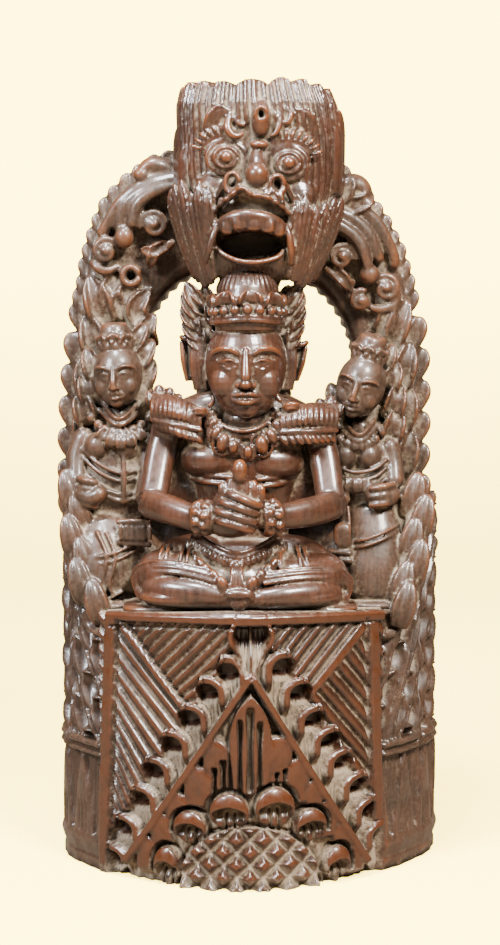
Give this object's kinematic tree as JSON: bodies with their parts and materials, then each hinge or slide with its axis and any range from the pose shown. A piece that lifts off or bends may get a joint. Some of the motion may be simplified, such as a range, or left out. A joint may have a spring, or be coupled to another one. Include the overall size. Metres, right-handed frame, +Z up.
{
  "type": "carved deity group",
  "caption": "Upright hardwood carving of a seated crowned figure between attendants on a tall carved block, under a leafy arch with a guardian mask.",
  "frame": {"origin": "middle of the underside, in the plane that the carving stands on", "axes": "+Z up the carving's height, -Y towards the front, which the figures face"},
  "size_m": [0.1258, 0.0932, 0.2505],
  "materials": {
    "carving": "hand carved, oiled and worn to a low polish"
  },
  "bodies": {
    "root": {"carving": "carving"}
  },
  "joints": []
}
